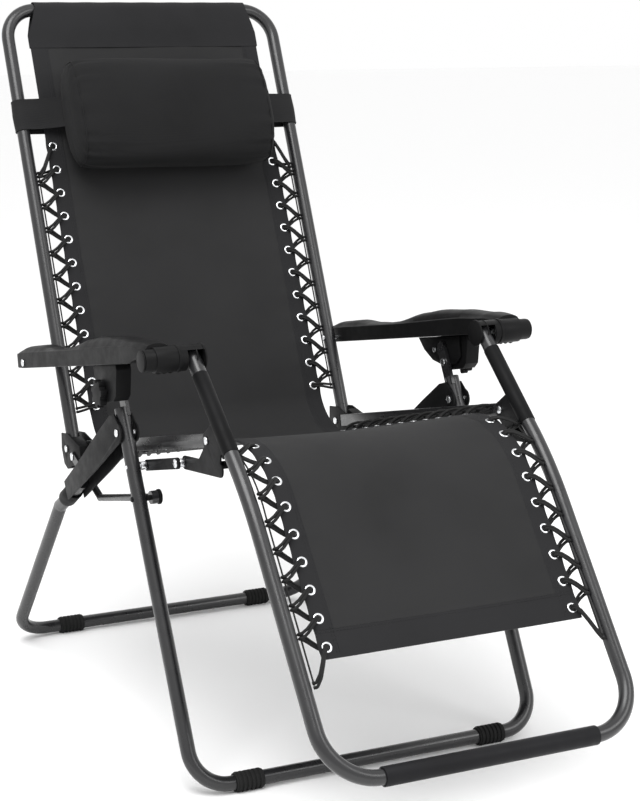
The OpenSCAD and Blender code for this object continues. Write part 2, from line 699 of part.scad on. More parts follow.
front_leg_frame();
front_feet();
rear_leg_frame();
rear_leg_clevises();
rear_leg_sleeves();
rear_feet();
clevis_rivets();
lock_housings();
slide_plates();
plate_bolts();
clamp_bolts();
lock_knob_right();
lock_knob_left();
armrest_right();
armrest_left();
armrest_barrels();
barrel_caps();
armrest_rivets();
backrest_frame();
backrest_sheet();
backrest_eyelets();
backrest_lacing();
headrest_pillow();
headrest_straps();
seat_rails();
rear_hinge_casings();
rear_hinge_bolts();
tie_rod_pins();
seat_sheet();
seat_eyelets();
seat_lacing();
footrest_frame();
footrest_shafts();
knee_sleeves();
knee_brackets();
knee_rivets();
link_pins();
footrest_sheet();
footrest_eyelets();
footrest_lacing();
footrest_bar_sleeve();
control_links();
link_rivets();
tie_rods();
tie_rod_caps();
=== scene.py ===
"""Looks of a zero gravity recliner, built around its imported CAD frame. Metres, CAD frame, +X forward."""
import json
import math

import bmesh
import bpy
import numpy as np
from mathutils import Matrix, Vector

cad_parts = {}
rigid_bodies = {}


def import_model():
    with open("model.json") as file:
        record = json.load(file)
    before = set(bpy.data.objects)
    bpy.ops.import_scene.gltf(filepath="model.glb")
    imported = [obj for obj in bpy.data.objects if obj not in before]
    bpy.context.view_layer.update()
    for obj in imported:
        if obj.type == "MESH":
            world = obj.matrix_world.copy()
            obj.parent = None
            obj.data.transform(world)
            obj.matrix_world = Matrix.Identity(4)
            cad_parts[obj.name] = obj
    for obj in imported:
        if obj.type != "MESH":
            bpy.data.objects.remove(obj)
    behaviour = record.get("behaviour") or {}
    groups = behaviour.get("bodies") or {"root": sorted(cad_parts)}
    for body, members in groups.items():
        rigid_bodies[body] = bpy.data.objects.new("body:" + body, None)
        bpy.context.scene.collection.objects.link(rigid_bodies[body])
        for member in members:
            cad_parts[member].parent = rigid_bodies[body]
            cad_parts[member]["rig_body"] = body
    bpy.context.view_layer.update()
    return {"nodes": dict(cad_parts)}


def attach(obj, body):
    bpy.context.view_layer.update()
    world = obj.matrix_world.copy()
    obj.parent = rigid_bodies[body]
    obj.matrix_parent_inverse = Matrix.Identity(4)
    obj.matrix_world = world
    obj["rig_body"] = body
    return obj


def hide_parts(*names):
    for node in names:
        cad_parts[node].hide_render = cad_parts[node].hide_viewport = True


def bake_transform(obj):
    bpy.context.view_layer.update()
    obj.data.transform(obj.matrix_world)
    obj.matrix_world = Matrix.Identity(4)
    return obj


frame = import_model()
nodes = frame["nodes"]

# ---------------------------------------------------------------- sizes, in the side view
SHIFT_X = -0.1323


def side(x, z):
    """A side view point given in millimetres of the drawing, in metres of the model."""
    return np.array((x / 1000 + SHIFT_X, z / 1000))


def unit(v):
    return v / np.linalg.norm(v)


def heading(degrees):
    return np.array((math.cos(math.radians(degrees)), math.sin(math.radians(degrees))))


def crossing(p, d, q, e):
    """Where the line through p along d meets the line through q along e."""
    k = ((q[0] - p[0]) * e[1] - (q[1] - p[1]) * e[0]) / (d[0] * e[1] - d[1] * e[0])
    return p + k * d


BACK_LEAN = 23.6
FOOT_LEAN = 37.1
ARM_SLOPE = 10.0
TUBE_R = 0.011
BACK_HALF = 0.252
FOOT_HALF = 0.241
SHEET_HALF = 0.216
FOOT_SHEET_HALF = 0.206
SHEET_T = 0.0016
EYELET_IN = 0.0125
PITCH = 0.0418
FOOT_PITCH = PITCH * 0.98
BACK_EYELETS = 12
BACK_FIRST = 0.067
SEAT_EYELETS = 11
SEAT_FIRST = 0.012
FOOT_EYELETS = 6
FOOT_FIRST = 0.182
KNEE_EYELETS = 3
PILLOW_BODY_HALF = 0.172
PILLOW_DROP = 0.016

BACK_PIVOT = side(-230, 535)
FRONT_PIVOT = side(310, 624)
REAR = side(-170, 396)
KNEE = side(380, 517)
FOOT_BAR = side(745, 135)

back_dir = heading(90 + BACK_LEAN)
back_front = heading(BACK_LEAN)
foot_dir = heading(90 + FOOT_LEAN)
foot_front = heading(FOOT_LEAN)
seat_dir = unit(KNEE - REAR)
seat_up = np.array((-seat_dir[1], seat_dir[0]))
back_len = (1.108 - REAR[1]) / math.cos(math.radians(BACK_LEAN))
strap_s = (0.929 - REAR[1]) / math.cos(math.radians(BACK_LEAN))
pillow_s = strap_s - PILLOW_DROP

SEAT_DROP = 0.021
REAR_FILLET = 0.090
KNEE_FILLET = 0.160
KNEE_DROP = 0.002
FOOT_LIFT = 0.004
FOOT_END = 0.166
sheet_low = REAR - SEAT_DROP * seat_up
sheet_dir = unit(KNEE - KNEE_DROP * seat_up - sheet_low)
sheet_up = np.array((-sheet_dir[1], sheet_dir[0]))
sheet_angle = math.degrees(math.atan2(sheet_dir[1], sheet_dir[0]))
rear_corner = crossing(REAR, back_dir, sheet_low, sheet_dir)
knee_corner = crossing(FOOT_BAR + FOOT_LIFT * foot_front, foot_dir, sheet_low, sheet_dir)
rear_turn = math.radians(90 + BACK_LEAN - sheet_angle)
knee_turn = 90 - FOOT_LEAN + sheet_angle
rear_cut = REAR_FILLET / math.tan(rear_turn / 2)
knee_cut = KNEE_FILLET * math.tan(math.radians(knee_turn) / 2)
knee_centre = knee_corner - knee_cut * sheet_dir - KNEE_FILLET * sheet_up
rear_centre = rear_corner + rear_cut * sheet_dir + REAR_FILLET * sheet_up
seat_start = rear_corner + rear_cut * sheet_dir
knee_start = knee_corner - knee_cut * sheet_dir


def on_back(s, t=0.0):
    return REAR + s * back_dir + t * back_front


def on_foot(s, t=0.0):
    return FOOT_BAR + s * foot_dir + t * foot_front


def on_arm(s, t=0.0):
    return BACK_PIVOT + s * heading(ARM_SLOPE) + t * heading(ARM_SLOPE + 90)


def at(p, y):
    """A side view point at the width y, in space."""
    return Vector((p[0], y, p[1]))


# ---------------------------------------------------------------- materials
def new_material(name, color, rough, metal=0.0, **sockets):
    m = bpy.data.materials.new(name)
    m.use_nodes = True
    shader = m.node_tree.nodes["Principled BSDF"]
    shader.inputs["Base Color"].default_value = (*color, 1)
    shader.inputs["Roughness"].default_value = rough
    shader.inputs["Metallic"].default_value = metal
    for key, value in sockets.items():
        shader.inputs[key.replace("_", " ")].default_value = value
    return m


def add_node(m, kind, **values):
    node = m.node_tree.nodes.new(kind)
    for key, value in values.items():
        if key in node.inputs:
            node.inputs[key].default_value = value
        else:
            setattr(node, key, value)
    return node


def link(m, a, b):
    m.node_tree.links.new(a, b)


def noise(m, scale, detail=3.0, coords="Object"):
    tex = add_node(m, "ShaderNodeTexNoise", Scale=scale, Detail=detail)
    where = add_node(m, "ShaderNodeTexCoord")
    link(m, where.outputs[coords], tex.inputs["Vector"])
    return tex.outputs["Fac"]


def ramp(m, fac, low, high, socket):
    """Maps a 0 to 1 value onto a range of numbers or onto two colours."""
    shader = m.node_tree.nodes["Principled BSDF"]
    if isinstance(low, tuple):
        mix = add_node(m, "ShaderNodeValToRGB")
        mix.color_ramp.elements[0].position = 0.3
        mix.color_ramp.elements[1].position = 0.7
        mix.color_ramp.elements[0].color = (*low, 1)
        mix.color_ramp.elements[1].color = (*high, 1)
        link(m, fac, mix.inputs["Fac"])
        link(m, mix.outputs["Color"], shader.inputs[socket])
        return
    span = add_node(m, "ShaderNodeMapRange")
    span.inputs["From Min"].default_value = 0.3
    span.inputs["From Max"].default_value = 0.7
    span.inputs["To Min"].default_value = low
    span.inputs["To Max"].default_value = high
    link(m, fac, span.inputs["Value"])
    link(m, span.outputs["Result"], shader.inputs[socket])


def bump(m, height, strength, distance):
    shader = m.node_tree.nodes["Principled BSDF"]
    node = add_node(m, "ShaderNodeBump", Strength=strength, Distance=distance)
    link(m, height, node.inputs["Height"])
    link(m, node.outputs["Normal"], shader.inputs["Normal"])


def powder_coat():
    m = new_material("powder_coat", (0.011, 0.011, 0.012), 0.3)
    m.node_tree.nodes["Principled BSDF"].inputs["Coat Weight"].default_value = 0.16
    m.node_tree.nodes["Principled BSDF"].inputs["Coat Roughness"].default_value = 0.2
    ramp(m, noise(m, 14, 4), (0.009, 0.009, 0.010), (0.015, 0.015, 0.016), "Base Color")
    ramp(m, noise(m, 60, 4), 0.24, 0.36, "Roughness")
    bump(m, noise(m, 900, 2), 0.12, 0.0004)
    return m


def moulded(name, color, rough_low, rough_high, grain):
    m = new_material(name, color, rough_high)
    bright = tuple(1.5 * c for c in color)
    ramp(m, noise(m, 9, 3), color, bright, "Base Color")
    ramp(m, noise(m, 55, 5), rough_low, rough_high, "Roughness")
    bump(m, noise(m, grain, 3), 0.16, 0.0005)
    m.node_tree.nodes["Principled BSDF"].inputs["Specular IOR Level"].default_value = 0.1
    return m


def zinc():
    m = new_material("zinc_plate", (0.80, 0.81, 0.83), 0.22, 1.0)
    ramp(m, noise(m, 160, 4), (0.66, 0.67, 0.69), (0.86, 0.87, 0.88), "Base Color")
    ramp(m, noise(m, 220, 4), 0.16, 0.34, "Roughness")
    return m


def woven(name, dark, light, rough, pitch, coords, depth):
    """A plain weave: two crossed rows of threads, alternately over and under."""
    m = new_material(name, dark, rough)
    where = add_node(m, "ShaderNodeTexCoord")
    waves = []
    for axis in ("X", "Y"):
        wave = add_node(m, "ShaderNodeTexWave", bands_direction=axis, Scale=0.314 / pitch)
        link(m, where.outputs[coords], wave.inputs["Vector"])
        waves.append(wave.outputs["Fac"])
    check = add_node(m, "ShaderNodeTexChecker", Scale=1.0 / pitch)
    link(m, where.outputs[coords], check.inputs["Vector"])
    over = add_node(m, "ShaderNodeMix", data_type="FLOAT")
    link(m, check.outputs["Fac"], over.inputs[0])
    link(m, waves[0], over.inputs[2])
    link(m, waves[1], over.inputs[3])
    cloudy = noise(m, 6, 3, coords)
    both = add_node(m, "ShaderNodeMath", operation="MULTIPLY_ADD")
    both.inputs[1].default_value = 0.35
    link(m, over.outputs[0], both.inputs[0])
    link(m, cloudy, both.inputs[2])
    ramp(m, both.outputs[0], dark, light, "Base Color")
    bump(m, over.outputs[0], 0.35, depth)
    shader = m.node_tree.nodes["Principled BSDF"]
    shader.inputs["Specular IOR Level"].default_value = 0.14
    shader.inputs["Sheen Weight"].default_value = 0.03
    shader.inputs["Sheen Roughness"].default_value = 0.5
    return m


STEEL = powder_coat()
PLASTIC = moulded("black_plastic", (0.005, 0.005, 0.0052), 0.42, 0.54, 700)
HOUSING = moulded("housing_plastic", (0.004, 0.004, 0.0043), 0.44, 0.58, 500)
RUBBER = moulded("rubber", (0.011, 0.011, 0.011), 0.6, 0.8, 420)
FOAM = moulded("sleeve_vinyl", (0.010, 0.010, 0.011), 0.42, 0.58, 260)
PLATE = moulded("plate_steel", (0.005, 0.005, 0.0053), 0.42, 0.55, 800)
ZINC = zinc()
SLING = woven("sling_weave", (0.0120, 0.0120, 0.0124), (0.0190, 0.0190, 0.0195), 0.72, 0.0013, "UV", 0.0003)
HEM = woven("hem_weave", (0.009, 0.009, 0.0095), (0.015, 0.015, 0.016), 0.74, 0.0013, "UV", 0.0003)
PILLOW = woven("pillow_weave", (0.0052, 0.0052, 0.0055), (0.0095, 0.0095, 0.0099), 0.82,
               0.0009, "Object", 0.0002)
WEBBING = woven("strap_weave", (0.008, 0.008, 0.0085), (0.014, 0.014, 0.0145), 0.78, 0.0016, "Object", 0.0003)
CORD = woven("cord_braid", (0.006, 0.006, 0.006), (0.012, 0.012, 0.012), 0.55, 0.0011, "Object", 0.0003)
THREAD = new_material("stitch_thread", (0.020, 0.020, 0.021), 0.6)
ramp(THREAD, noise(THREAD, 300, 2), (0.014, 0.014, 0.015), (0.026, 0.026, 0.027), "Base Color")


# ---------------------------------------------------------------- mesh helpers
def mesh_object(name, points, faces, material, smooth_degrees=40.0):
    mesh = bpy.data.meshes.new(name)
    mesh.from_pydata([tuple(p) for p in points], [], faces)
    obj = bpy.data.objects.new(name, mesh)
    bpy.context.scene.collection.objects.link(obj)
    finish_mesh(obj, material, smooth_degrees)
    return obj


def finish_mesh(obj, material, smooth_degrees=40.0):
    bm = bmesh.new()
    bm.from_mesh(obj.data)
    bmesh.ops.recalc_face_normals(bm, faces=bm.faces)
    for edge in bm.edges:
        sharp = len(edge.link_faces) == 2 and edge.calc_face_angle(0) > math.radians(smooth_degrees)
        edge.smooth = not sharp
    for face in bm.faces:
        face.smooth = True
    bm.to_mesh(obj.data)
    bm.free()
    obj.data.materials.clear()
    obj.data.materials.append(material)


def grid_solid(name, top, bottom, material, uv=None):
    """A closed skin between two grids of points with the same rows and columns."""
    rows, cols = top.shape[:2]
    points = np.concatenate((top.reshape(-1, 3), bottom.reshape(-1, 3)))
    under = rows * cols
    faces = []
    for r in range(rows - 1):
        for c in range(cols - 1):
            a = r * cols + c
            faces.append((a, a + 1, a + cols + 1, a + cols))
            faces.append((under + a, under + a + cols, under + a + cols + 1, under + a + 1))
    edge = list(range(cols))
    edge += [r * cols + cols - 1 for r in range(1, rows)]
    edge += [(rows - 1) * cols + c for c in range(cols - 2, -1, -1)]
    edge += [r * cols for r in range(rows - 2, 0, -1)]
    for i, a in enumerate(edge):
        b = edge[(i + 1) % len(edge)]
        faces.append((a, under + a, under + b, b))
    obj = mesh_object(name, points, faces, material)
    if uv is not None:
        flat = np.concatenate((uv.reshape(-1, 2), uv.reshape(-1, 2)))
        layer = obj.data.uv_layers.new(name="UVMap")
        index = np.zeros(len(obj.data.loops), int)
        obj.data.loops.foreach_get("vertex_index", index)
        layer.data.foreach_set("uv", flat[index].astype(np.float32).ravel())
    return obj


def rounded(node, width, material, segments=2, angle=30.0):
    """A CAD node with its edges rounded, shown in place of the node."""
    source = nodes[node]
    obj = bpy.data.objects.new(node + ".shown", source.data.copy())
    bpy.context.scene.collection.objects.link(obj)
    bm = bmesh.new()
    bm.from_mesh(obj.data)
    bmesh.ops.remove_doubles(bm, verts=bm.verts, dist=2e-6)
    bmesh.ops.dissolve_limit(bm, angle_limit=math.radians(0.8), verts=bm.verts, edges=bm.edges)
    bm.to_mesh(obj.data)
    bm.free()
    modifier = obj.modifiers.new("edges", "BEVEL")
    modifier.width = width
    modifier.segments = segments
    modifier.limit_method = "ANGLE"
    modifier.angle_limit = math.radians(angle)
    modifier.use_clamp_overlap = True
    apply_modifiers(obj)
    finish_mesh(obj, material)
    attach(obj, source["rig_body"])
    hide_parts(node)
    return obj


def apply_modifiers(obj):
    bpy.context.view_layer.update()
    seen = obj.evaluated_get(bpy.context.evaluated_depsgraph_get())
    mesh = bpy.data.meshes.new_from_object(seen)
    obj.modifiers.clear()
    obj.data = mesh


def cord_curve(name, splines, radius, material, body, steps=4, ring=2):
    """Smooth round cords through lists of points in space."""
    data = bpy.data.curves.new(name, "CURVE")
    data.dimensions = "3D"
    data.bevel_depth = radius
    data.bevel_resolution = ring
    data.resolution_u = steps
    data.use_fill_caps = True
    for path in splines:
        spline = data.splines.new("BEZIER")
        spline.bezier_points.add(len(path) - 1)
        for point, co in zip(spline.bezier_points, path):
            point.co = co
            point.handle_left_type = "AUTO"
            point.handle_right_type = "AUTO"
    obj = bpy.data.objects.new(name, data)
    bpy.context.scene.collection.objects.link(obj)
    bpy.context.view_layer.update()
    mesh = bpy.data.meshes.new_from_object(obj.evaluated_get(bpy.context.evaluated_depsgraph_get()))
    bpy.data.objects.remove(obj)
    solid = bpy.data.objects.new(name, mesh)
    bpy.context.scene.collection.objects.link(solid)
    finish_mesh(solid, material, 60)
    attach(solid, body)
    return solid


# ---------------------------------------------------------------- the sling
def sling_line(step=0.004):
    """Points of the sling's middle plane from the top hem down to the footrest's edge, evenly spaced."""
    raw = [on_back(s) for s in np.linspace(back_len - 0.066, 0.09, 60)]
    sweep = 90 - BACK_LEAN + sheet_angle
    raw += [rear_centre + REAR_FILLET * heading(180 + BACK_LEAN + sweep * k / 24) for k in range(25)]
    raw += [seat_start + k / 40 * (knee_start - seat_start) for k in range(1, 40)]
    raw += [knee_centre + KNEE_FILLET * heading(90 + sheet_angle - knee_turn * k / 30) for k in range(31)]
    low = on_foot(FOOT_END, FOOT_LIFT)
    raw += [raw[-1] + k / 40 * (low - raw[-1]) for k in range(1, 41)]
    raw = np.array(raw)
    raw = raw[np.concatenate(([True], np.linalg.norm(np.diff(raw, axis=0), axis=1) > 1e-5))]
    length = np.concatenate(([0], np.cumsum(np.linalg.norm(np.diff(raw, axis=0), axis=1))))
    where = np.linspace(0, length[-1], int(length[-1] / step) + 1)
    line = np.stack([np.interp(where, length, raw[:, k]) for k in range(2)], axis=1)
    return line, where


sling, sling_s = sling_line()
slope = np.gradient(sling, axis=0)
slope /= np.linalg.norm(slope, axis=1)[:, None]
sling_normal = np.stack((-slope[:, 1], slope[:, 0]), axis=1)


def sling_at(point):
    """How far along the sling a side view point is."""
    return sling_s[np.argmin(np.linalg.norm(sling - point, axis=1))]


S_SEAT = sling_at(seat_start)
S_KNEE = sling_at(knee_start)
S_END = sling_s[-1]

back_eyelets = [on_back(BACK_FIRST + i * PITCH) for i in range(BACK_EYELETS)]
seat_eyelets = [seat_start + (SEAT_FIRST + i * PITCH) * sheet_dir for i in range(SEAT_EYELETS)]
top_angle = 90 + sheet_angle
arc_pitch = math.degrees(FOOT_PITCH / KNEE_FILLET)
last_straight = FOOT_FIRST + (FOOT_EYELETS - 1) * FOOT_PITCH
arc_first = math.degrees((last_straight - (knee_centre - FOOT_BAR) @ foot_dir) / KNEE_FILLET)
arc_angles = [top_angle - knee_turn + k * arc_pitch + arc_first for k in range(KNEE_EYELETS, 0, -1)]
arc_eyelets = [(knee_centre + KNEE_FILLET * heading(a), a) for a in arc_angles]
foot_eyelets = [on_foot(FOOT_FIRST + i * FOOT_PITCH, FOOT_LIFT) for i in range(FOOT_EYELETS)]
eyelet_s = np.array([sling_at(p) for p in back_eyelets + seat_eyelets + foot_eyelets]
                    + [sling_at(p) for p, _ in arc_eyelets])


def half_width(s):
    narrow = np.clip((s - (S_KNEE - 0.14)) / 0.16, 0, 1)
    narrow = narrow * narrow * (3 - 2 * narrow)
    return SHEET_HALF + (FOOT_SHEET_HALF - SHEET_HALF) * narrow


def pull(s):
    """1 at an eyelet, falling to 0 midway between two."""
    near = np.min(np.abs(np.asarray(s)[..., None] - eyelet_s), axis=-1)
    return np.exp(-(near / 0.011) ** 2)


HEM_W = 0.031
SAG = 0.0045
END_HEM = 0.043
columns = np.concatenate((np.linspace(0, 0.978, 26), [0.985, 0.993, 1.0]))
hem_columns = np.array([0.0, 0.04, 0.08, 0.3, 0.55, 0.8, 0.93, 1.0])


def sheet_grid(s0, s1):
    """Grids of the cloth's two faces between two places along the sling, and its flat coordinates.
    It sags between its sides, pulls in between eyelets and is doubled in its hems."""
    pick = (sling_s >= s0 - 1e-6) & (sling_s <= s1 + 1e-6)
    s = sling_s[pick]
    line = sling[pick]
    normal = sling_normal[pick]
    half = half_width(s) - 0.0014 * (1 - pull(s))
    inner = (half - HEM_W)[:, None] * columns[None, :]
    outer = (half - HEM_W)[:, None] + HEM_W * hem_columns[None, 1:]
    y = np.concatenate((inner, outer), axis=1)
    y = np.concatenate((-y[:, :0:-1], y), axis=1)
    edge = half[:, None] - np.abs(y)
    sag = -SAG * np.clip(1 - (y / half[:, None]) ** 2, 0, 1)
    middle_back = np.clip((s - 0.05) / 0.12, 0, 1)[:, None]
    end = np.clip((S_END - s) / 0.05, 0, 1)[:, None]
    sag = sag * middle_back * (0.35 + 0.65 * end)
    wrinkle = 0.0011 * (pull(s)[:, None] - 0.4) * np.exp(-((edge - 0.028) / 0.022) ** 2)
    drift = 0.0007 * np.sin(21 * y + 9 * s[:, None]) * np.sin(15 * s[:, None] + 1.3)
    lift = sag + wrinkle + drift * np.clip(edge / 0.04, 0, 1)
    thick = np.where(edge < HEM_W * 0.985, SHEET_T / 2 + 0.0007, SHEET_T / 2 - 0.0001)
    low_hem = ((S_END - s) < END_HEM)[:, None]
    thick = np.where(low_hem, np.maximum(thick, SHEET_T / 2 + 0.0007), thick)
    round_edge = np.sqrt(np.clip(edge / 0.0015, 0.15, 1))
    thick = thick * round_edge

    def face(sign):
        away = lift + sign * thick
        x = line[:, 0][:, None] + normal[:, 0][:, None] * away
        z = line[:, 1][:, None] + normal[:, 1][:, None] * away
        return np.stack((x, y, z), axis=2)

    uv = np.stack((y, np.repeat(s[:, None], y.shape[1], axis=1)), axis=2)
    return face(1), face(-1), uv


def surface(s, y, away):
    """A point above the cloth at a place along the sling and across it."""
    x = np.interp(s, sling_s, sling[:, 0])
    z = np.interp(s, sling_s, sling[:, 1])
    n = unit(np.array((np.interp(s, sling_s, sling_normal[:, 0]), np.interp(s, sling_s, sling_normal[:, 1]))))
    half = float(half_width(np.array([s]))[0]) - 0.0014 * (1 - float(pull(np.array([s]))[0]))
    sag = -SAG * max(0.0, 1 - (y / half) ** 2) * min(max((s - 0.05) / 0.12, 0), 1)
    sag *= 0.35 + 0.65 * min(max((S_END - s) / 0.05, 0), 1)
    edge = half - abs(y)
    sag += 0.0011 * (float(pull(np.array([s]))[0]) - 0.4) * math.exp(-((edge - 0.028) / 0.022) ** 2)
    return Vector((x + n[0] * (sag + away), y, z + n[1] * (sag + away))), n


def stitches(name, runs, material):
    """Short raised threads along runs of (s, y) places on the cloth, on both of its faces."""
    points = []
    faces = []
    for run in runs:
        for (s0, y0), (s1, y1) in run:
            for sign in (1, -1):
                a, n = surface(s0, y0, sign * 0.00155)
                b, _ = surface(s1, y1, sign * 0.00155)
                along = (b - a).normalized()
                up = Vector((n[0], 0, n[1])) * sign
                across = along.cross(up).normalized()
                base = len(points)
                for p, w in ((a, 0.6), (a.lerp(b, 0.5), 1.0), (b, 0.6)):
                    points += [p + across * 0.00045 * w - up * 0.0005, p + up * 0.0005 * w,
                               p - across * 0.00045 * w - up * 0.0005]
                for k in (0, 3):
                    for j in range(3):
                        j2 = (j + 1) % 3
                        faces.append((base + k + j, base + k + j2, base + k + 3 + j2, base + k + 3 + j))
                faces.append((base, base + 2, base + 1))
                faces.append((base + 6, base + 7, base + 8))
    return mesh_object(name, points, faces, material, 80)


def stitch_run(a, b, pitch=0.0052, share=0.68):
    """Dashes from a to b, each an (s, y) place, as pairs of ends."""
    a, b = np.array(a), np.array(b)
    count = int(np.linalg.norm(b - a) / pitch)
    return [(tuple(a + (b - a) * k / count), tuple(a + (b - a) * (k + share) / count)) for k in range(count)]


def side_runs(s0, s1):
    runs = []
    for sign in (-1, 1):
        for inset in (HEM_W - 0.0022, HEM_W - 0.0062):
            cuts = np.arange(s0, s1, 0.05)
            for c0, c1 in zip(cuts, list(cuts[1:]) + [s1]):
                y0 = float(half_width(np.array([c0]))[0]) - inset
                y1 = float(half_width(np.array([c1]))[0]) - inset
                runs.append(stitch_run((c0, sign * y0), (c1, sign * y1)))
    return runs


s_mid = (S_SEAT + S_KNEE) / 2
s_mid = sling_s[np.argmin(np.abs(sling_s - s_mid))]
parts = (("sling_upper", 0.0, s_mid, "backrest", "seat"), ("sling_lower", s_mid, S_END, "seat", "footrest"))
for name, s0, s1, body_a, body_b in parts:
    top, bottom, uv = sheet_grid(s0, s1)
    cloth = grid_solid(name, top, bottom, SLING, uv)
    cloth.data.materials.append(HEM)
    flat = uv.reshape(-1, 2)
    hem_y = np.tile(half_width(flat[:, 1]), 2) - np.abs(np.tile(flat[:, 0], 2))
    end_s = S_END - np.tile(flat[:, 1], 2)
    for polygon in cloth.data.polygons:
        far = list(polygon.vertices)
        if max(hem_y[far]) < HEM_W * 1.02 or max(end_s[far]) < END_HEM + 0.001:
            polygon.material_index = 1
    runs = side_runs(s0 + 0.004, s1 - 0.004)
    if name == "sling_lower":
        for inset in (0.0405, 0.0365):
            reach = FOOT_SHEET_HALF - 0.004
            runs.append(stitch_run((S_END - inset, -reach), (S_END - inset, reach)))
    thread = stitches(name + "_stitching", runs, THREAD)
    for piece in (cloth, thread):
        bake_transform(piece)

# The pocket sewn round the top bar
POCKET_R = TUBE_R + 0.0022


def pocket_section():
    """(s, t) points of the pocket's loop on the backrest plane: up the front, over the bar, down behind."""
    loop = [(-0.0705, 0.0013), (-0.062, 0.0017), (-0.045, 0.0052), (-0.028, 0.0092)]
    for k in range(13):
        a = math.radians(-18 + (216 * k) / 12)
        loop.append((POCKET_R * math.sin(a), POCKET_R * math.cos(a)))
    loop += [(-0.028, -0.0092), (-0.045, -0.0052), (-0.062, -0.0017), (-0.0705, -0.0013)]
    return loop


def pocket_shell():
    loop = np.array(pocket_section())
    tangent = np.gradient(loop, axis=0)
    tangent /= np.linalg.norm(tangent, axis=1)[:, None]
    outward = np.stack((-tangent[:, 1], tangent[:, 0]), axis=1)
    centre = np.array((-0.02, 0))
    flip = np.sign(np.sum(outward * (loop - centre), axis=1))
    outward *= flip[:, None]
    ys = np.linspace(-1, 1, 61)
    skins = []
    for offset in (0.0006, -0.0006):
        grid = np.zeros((len(loop), len(ys), 3))
        for i, (s, t) in enumerate(loop):
            reach = SHEET_HALF - 0.016 * min(max((s + 0.05) / 0.05, 0), 1)
            for j, u in enumerate(ys):
                crease = 0.0006 * math.sin(23 * u + 40 * s) * (1 if abs(s + 0.035) < 0.03 else 0.3)
                s2 = s + outward[i, 0] * (offset + crease)
                t2 = t + outward[i, 1] * (offset + crease)
                p = on_back(back_len + s2, t2)
                grid[i, j] = (p[0], u * reach, p[1])
        skins.append(grid)
    uv = np.zeros((len(loop), len(ys), 2))
    run = np.concatenate(([0], np.cumsum(np.linalg.norm(np.diff(loop, axis=0), axis=1))))
    uv[:, :, 0] = ys[None, :] * SHEET_HALF
    uv[:, :, 1] = run[:, None]
    return grid_solid("sling_top_pocket", skins[0], skins[1], HEM, uv)


pocket = pocket_shell()
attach(pocket, "backrest")
top_thread = stitches("top_hem_stitching", [
    stitch_run((0.0015, -SHEET_HALF + 0.006), (0.0015, SHEET_HALF - 0.006)),
], THREAD)
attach(top_thread, "backrest")
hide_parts("backrest_sheet", "seat_sheet")
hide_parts("footrest_sheet")


# ---------------------------------------------------------------- eyelets and lacing
EYELET_SECTION = [(4.2, 0.0), (4.4, 1.0), (5.1, 1.65), (6.2, 1.85), (7.4, 1.5), (8.2, 0.7), (8.2, -0.7),
                  (7.4, -1.5), (6.2, -1.85), (5.1, -1.65), (4.4, -1.0)]


def eyelet_rings(name, places, body, replaced):
    """Rolled rings at (point, normal angle, width) places."""
    points = []
    faces = []
    around = 28
    count = len(EYELET_SECTION)
    for p, angle, y in places:
        centre = at(p, y)
        axis = heading(angle)
        up = Vector((axis[0], 0, axis[1]))
        u = Vector((0, 1, 0))
        v = up.cross(u)
        base = len(points)
        for k in range(around):
            a = 2 * math.pi * k / around
            out = u * math.cos(a) + v * math.sin(a)
            points += [centre + out * r / 1000 + up * h / 1000 for r, h in EYELET_SECTION]
        for k in range(around):
            k2 = (k + 1) % around
            for j in range(count):
                j2 = (j + 1) % count
                faces.append((base + k * count + j, base + k * count + j2,
                              base + k2 * count + j2, base + k2 * count + j))
    obj = mesh_object(name, points, faces, ZINC, 60)
    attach(obj, body)
    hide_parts(replaced)
    return obj


def both_sides(places, y):
    return [(p, a, sign * y) for p, a in places for sign in (-1, 1)]


EYELET_Y = SHEET_HALF - EYELET_IN
FOOT_EYELET_Y = FOOT_SHEET_HALF - EYELET_IN
eyelet_rings("back_eyelet_rings", both_sides([(p, BACK_LEAN) for p in back_eyelets], EYELET_Y),
             "backrest", "backrest_eyelets")
eyelet_rings("seat_eyelet_rings", both_sides([(p, top_angle) for p in seat_eyelets], EYELET_Y),
             "seat", "seat_eyelets")
eyelet_rings("foot_eyelet_rings",
             both_sides([(p, FOOT_LEAN) for p in foot_eyelets] + list(arc_eyelets), FOOT_EYELET_Y),
             "footrest", "footrest_eyelets")


def lacing(name, holes, anchors, eyelet_y, anchor_y, body, replaced):
    """Doubled cord that zigzags between eyelets and a string along the tube.
    holes and anchors are (point, normal angle) lists in the same order, from the low end up."""
    cords = []
    knots = []
    for sign in (-1, 1):
        for strand in (-1, 1):
            path = []
            for (hole, angle), (knot, knot_angle) in zip(holes[::-1], anchors[::-1]):
                n, m = heading(angle), heading(knot_angle)
                along = np.array((-n[1], n[0]))
                split = strand * 0.0018 * along
                wide = strand * 0.0031 * np.array((-m[1], m[0]))
                path.append(at(hole - 0.0042 * n + split, sign * (eyelet_y + 0.003)))
                path.append(at(hole + split, sign * (eyelet_y - 0.0004)))
                path.append(at(hole + 0.0044 * n + split, sign * (eyelet_y + 0.003)))
                path.append(at(knot + 0.0034 * m + wide, sign * (anchor_y - 0.0035)))
                path.append(at(knot + wide, sign * (anchor_y + 0.0012)))
                path.append(at(knot - 0.0034 * m + wide, sign * (anchor_y - 0.0035)))
            cords.append(path[:-1])
        string = [at(a, sign * (anchor_y - 0.0006)) for a, _ in anchors]
        knots.append(string)
    lace = cord_curve(name, cords, 0.0023, CORD, body)
    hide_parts(replaced)
    string = cord_curve(name + "_string", knots, 0.0013, CORD, body, steps=3)
    return lace, string


